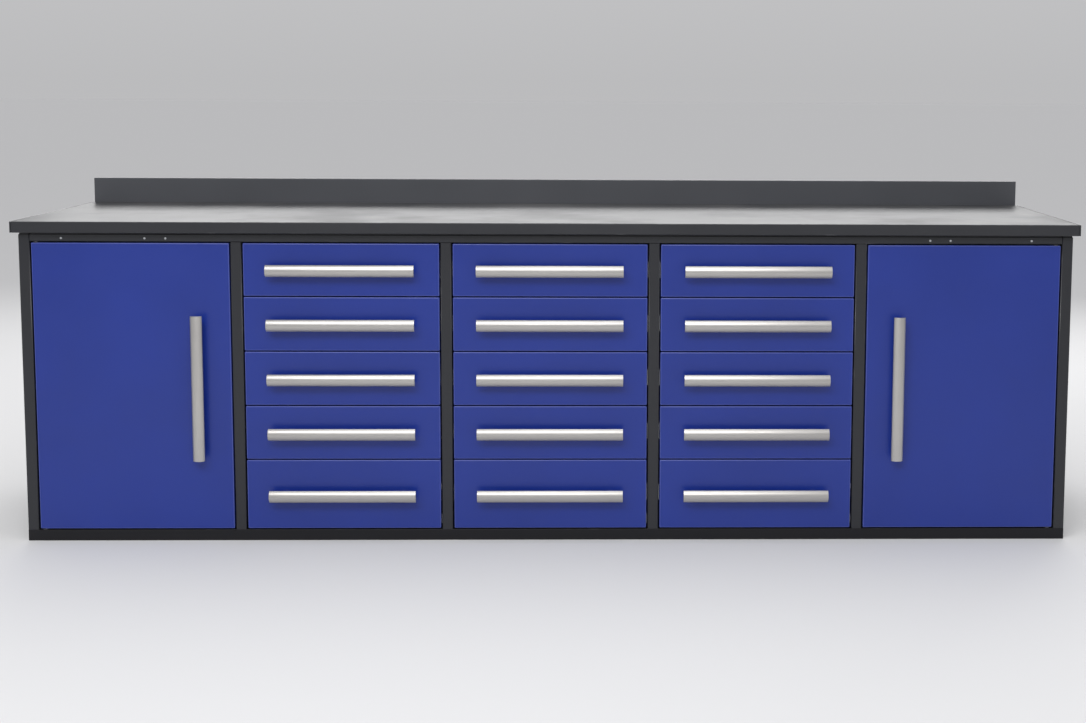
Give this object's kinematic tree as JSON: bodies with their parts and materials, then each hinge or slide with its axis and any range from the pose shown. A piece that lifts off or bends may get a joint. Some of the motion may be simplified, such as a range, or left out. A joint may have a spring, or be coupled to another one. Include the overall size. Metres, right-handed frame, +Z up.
{
  "type": "workbench with drawers",
  "caption": "Long sheet-steel workbench: columns of bar-handled drawers between end cupboards with hinged doors, under a flat worktop with a low backsplash.",
  "frame": {"origin": "middle of the bench's bounding box, on the floor", "axes": "+X along the bench to the right of someone facing the drawers, +Y towards the wall behind it, +Z up"},
  "size_m": [2.854, 0.6784, 0.945],
  "materials": {
    "charcoal_powder_coat": "dark grey satin powder coat with fine orange peel",
    "blue_powder_coat": "blue satin powder coat with fine orange peel",
    "brushed_aluminium": "brushed along the bar, clear anodised",
    "zinc_plate": "bright zinc plate",
    "black_plastic": "moulded, matt"
  },
  "bodies": {
    "carcass": {"base_frame": "charcoal_powder_coat", "front_top_rail": "charcoal_powder_coat", "rear_top_rail": "charcoal_powder_coat", "worktop": "charcoal_powder_coat", "backsplash": "charcoal_powder_coat", "left_side_panel": "charcoal_powder_coat", "right_side_panel": "charcoal_powder_coat", "divider_1": "charcoal_powder_coat", "divider_2": "charcoal_powder_coat", "divider_3": "charcoal_powder_coat", "divider_4": "charcoal_powder_coat", "back_panel": "charcoal_powder_coat", "left_shelf": "charcoal_powder_coat", "right_shelf": "charcoal_powder_coat", "left_drawer_runner_panel_left": "zinc_plate", "left_drawer_runner_panel_right": "zinc_plate", "middle_drawer_runner_panel_left": "zinc_plate", "middle_drawer_runner_panel_right": "zinc_plate", "right_drawer_runner_panel_left": "zinc_plate", "right_drawer_runner_panel_right": "zinc_plate", "left_door_lower_pivot": "zinc_plate", "left_door_upper_pivot": "zinc_plate", "right_door_lower_pivot": "zinc_plate", "right_door_upper_pivot": "zinc_plate", "left_door_catch": "black_plastic", "right_door_catch": "black_plastic"},
    "left_drawer_1": {"left_drawer_1": "blue_powder_coat", "left_drawer_1_handle": "brushed_aluminium"},
    "left_drawer_2": {"left_drawer_2": "blue_powder_coat", "left_drawer_2_handle": "brushed_aluminium"},
    "left_drawer_3": {"left_drawer_3": "blue_powder_coat", "left_drawer_3_handle": "brushed_aluminium"},
    "left_drawer_4": {"left_drawer_4": "blue_powder_coat", "left_drawer_4_handle": "brushed_aluminium"},
    "left_drawer_5": {"left_drawer_5": "blue_powder_coat", "left_drawer_5_handle": "brushed_aluminium"},
    "middle_drawer_1": {"middle_drawer_1": "blue_powder_coat", "middle_drawer_1_handle": "brushed_aluminium"},
    "middle_drawer_2": {"middle_drawer_2": "blue_powder_coat", "middle_drawer_2_handle": "brushed_aluminium"},
    "middle_drawer_3": {"middle_drawer_3": "blue_powder_coat", "middle_drawer_3_handle": "brushed_aluminium"},
    "middle_drawer_4": {"middle_drawer_4": "blue_powder_coat", "middle_drawer_4_handle": "brushed_aluminium"},
    "middle_drawer_5": {"middle_drawer_5": "blue_powder_coat", "middle_drawer_5_handle": "brushed_aluminium"},
    "right_drawer_1": {"right_drawer_1": "blue_powder_coat", "right_drawer_1_handle": "brushed_aluminium"},
    "right_drawer_2": {"right_drawer_2": "blue_powder_coat", "right_drawer_2_handle": "brushed_aluminium"},
    "right_drawer_3": {"right_drawer_3": "blue_powder_coat", "right_drawer_3_handle": "brushed_aluminium"},
    "right_drawer_4": {"right_drawer_4": "blue_powder_coat", "right_drawer_4_handle": "brushed_aluminium"},
    "right_drawer_5": {"right_drawer_5": "blue_powder_coat", "right_drawer_5_handle": "brushed_aluminium"},
    "left_door": {"left_door": "blue_powder_coat", "left_door_handle": "brushed_aluminium"},
    "right_door": {"right_door": "blue_powder_coat", "right_door_handle": "brushed_aluminium"}
  },
  "joints": [
    {"name": "left_drawer_1_slide", "type": "slide", "parent": "carcass", "child": "left_drawer_1", "axis": [0, -1, 0], "range_m": [0, 0.4]},
    {"name": "left_drawer_2_slide", "type": "slide", "parent": "carcass", "child": "left_drawer_2", "axis": [0, -1, 0], "range_m": [0, 0.4]},
    {"name": "left_drawer_3_slide", "type": "slide", "parent": "carcass", "child": "left_drawer_3", "axis": [0, -1, 0], "range_m": [0, 0.4]},
    {"name": "left_drawer_4_slide", "type": "slide", "parent": "carcass", "child": "left_drawer_4", "axis": [0, -1, 0], "range_m": [0, 0.4]},
    {"name": "left_drawer_5_slide", "type": "slide", "parent": "carcass", "child": "left_drawer_5", "axis": [0, -1, 0], "range_m": [0, 0.4]},
    {"name": "middle_drawer_1_slide", "type": "slide", "parent": "carcass", "child": "middle_drawer_1", "axis": [0, -1, 0], "range_m": [0, 0.4]},
    {"name": "middle_drawer_2_slide", "type": "slide", "parent": "carcass", "child": "middle_drawer_2", "axis": [0, -1, 0], "range_m": [0, 0.4]},
    {"name": "middle_drawer_3_slide", "type": "slide", "parent": "carcass", "child": "middle_drawer_3", "axis": [0, -1, 0], "range_m": [0, 0.4]},
    {"name": "middle_drawer_4_slide", "type": "slide", "parent": "carcass", "child": "middle_drawer_4", "axis": [0, -1, 0], "range_m": [0, 0.4]},
    {"name": "middle_drawer_5_slide", "type": "slide", "parent": "carcass", "child": "middle_drawer_5", "axis": [0, -1, 0], "range_m": [0, 0.4]},
    {"name": "right_drawer_1_slide", "type": "slide", "parent": "carcass", "child": "right_drawer_1", "axis": [0, -1, 0], "range_m": [0, 0.4]},
    {"name": "right_drawer_2_slide", "type": "slide", "parent": "carcass", "child": "right_drawer_2", "axis": [0, -1, 0], "range_m": [0, 0.4]},
    {"name": "right_drawer_3_slide", "type": "slide", "parent": "carcass", "child": "right_drawer_3", "axis": [0, -1, 0], "range_m": [0, 0.4]},
    {"name": "right_drawer_4_slide", "type": "slide", "parent": "carcass", "child": "right_drawer_4", "axis": [0, -1, 0], "range_m": [0, 0.4]},
    {"name": "right_drawer_5_slide", "type": "slide", "parent": "carcass", "child": "right_drawer_5", "axis": [0, -1, 0], "range_m": [0, 0.4]},
    {"name": "left_door_hinge", "type": "hinge", "parent": "carcass", "child": "left_door", "pos_m": [-1.3675, -0.29665, 0.423], "axis": [0, 0, -1], "range_deg": [0, 110]},
    {"name": "right_door_hinge", "type": "hinge", "parent": "carcass", "child": "right_door", "pos_m": [1.3675, -0.29665, 0.423], "axis": [0, 0, 1], "range_deg": [0, 110]}
  ]
}
